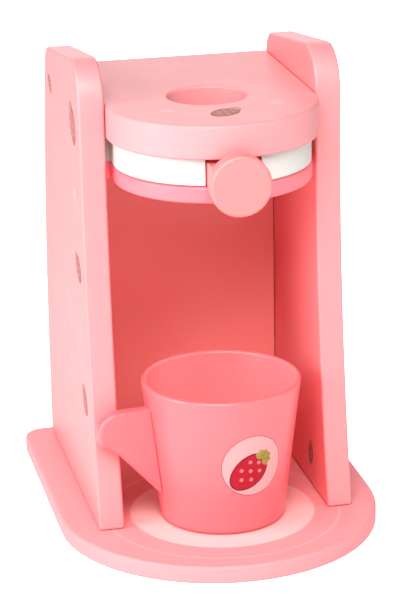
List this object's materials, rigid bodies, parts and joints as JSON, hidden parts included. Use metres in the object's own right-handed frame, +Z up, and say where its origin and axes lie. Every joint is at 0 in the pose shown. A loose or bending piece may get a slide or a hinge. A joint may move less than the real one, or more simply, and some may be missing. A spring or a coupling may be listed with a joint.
{
  "type": "toy coffee maker",
  "caption": "Wooden toy coffee maker: a round-fronted base, two curved side boards, a layered head with a pull-out slider knob, and a loose mug with a flat ear handle.",
  "frame": {"origin": "centre of the toy's footprint, on the surface that it stands on", "axes": "+Z up, -Y towards the round front with the knob, +X to the right as seen from the front"},
  "size_m": [0.127, 0.163, 0.1878],
  "materials": {
    "pink_paint": "satin pink paint on fine-grained board",
    "pale_pink_paint": "satin pale pink paint",
    "coral_paint": "satin coral pink paint",
    "rose_paint": "satin rose pink paint",
    "white_paint": "satin warm white paint",
    "mug_paint": "smooth satin coral pink lacquer on turned wood",
    "bare_wood": "plain beech, unpainted",
    "screw_steel": "zinc plated"
  },
  "bodies": {
    "maker": {"base_board": "pink_paint", "left_side_board": "pink_paint", "right_side_board": "pink_paint", "back_panel": "coral_paint", "top_plate": "pale_pink_paint", "white_layer": "white_paint", "lower_layer": "rose_paint", "left_plate_dowel_front": "bare_wood", "left_plate_dowel_back": "bare_wood", "right_plate_dowel_front": "bare_wood", "right_plate_dowel_back": "bare_wood", "left_panel_dowel_low": "bare_wood", "left_panel_dowel_middle": "bare_wood", "left_panel_dowel_high": "bare_wood", "right_panel_dowel_low": "bare_wood", "right_panel_dowel_middle": "bare_wood", "right_panel_dowel_high": "bare_wood", "left_stack_dowel_front": "bare_wood", "left_stack_dowel_back": "bare_wood", "right_stack_dowel_front": "bare_wood", "right_stack_dowel_back": "bare_wood", "left_board_screw_front": "screw_steel", "left_board_screw_back": "screw_steel", "right_board_screw_front": "screw_steel", "right_board_screw_back": "screw_steel", "panel_screw_left": "screw_steel", "panel_screw_right": "screw_steel"},
    "slider": {"slider_block": "pale_pink_paint", "knob_disc": "pale_pink_paint", "knob_dowel": "bare_wood", "stop_pin": "bare_wood"},
    "mug": {"mug_cup": "mug_paint", "mug_handle": "mug_paint"}
  },
  "joints": [
    {"name": "slider_slide", "type": "slide", "parent": "maker", "child": "slider", "axis": [0, -1, 0], "range_m": [0, 0.02]},
    {"name": "mug_slide", "type": "slide", "parent": "maker", "child": "mug", "axis": [0, -1, 0], "range_m": [0, 0.029]}
  ]
}
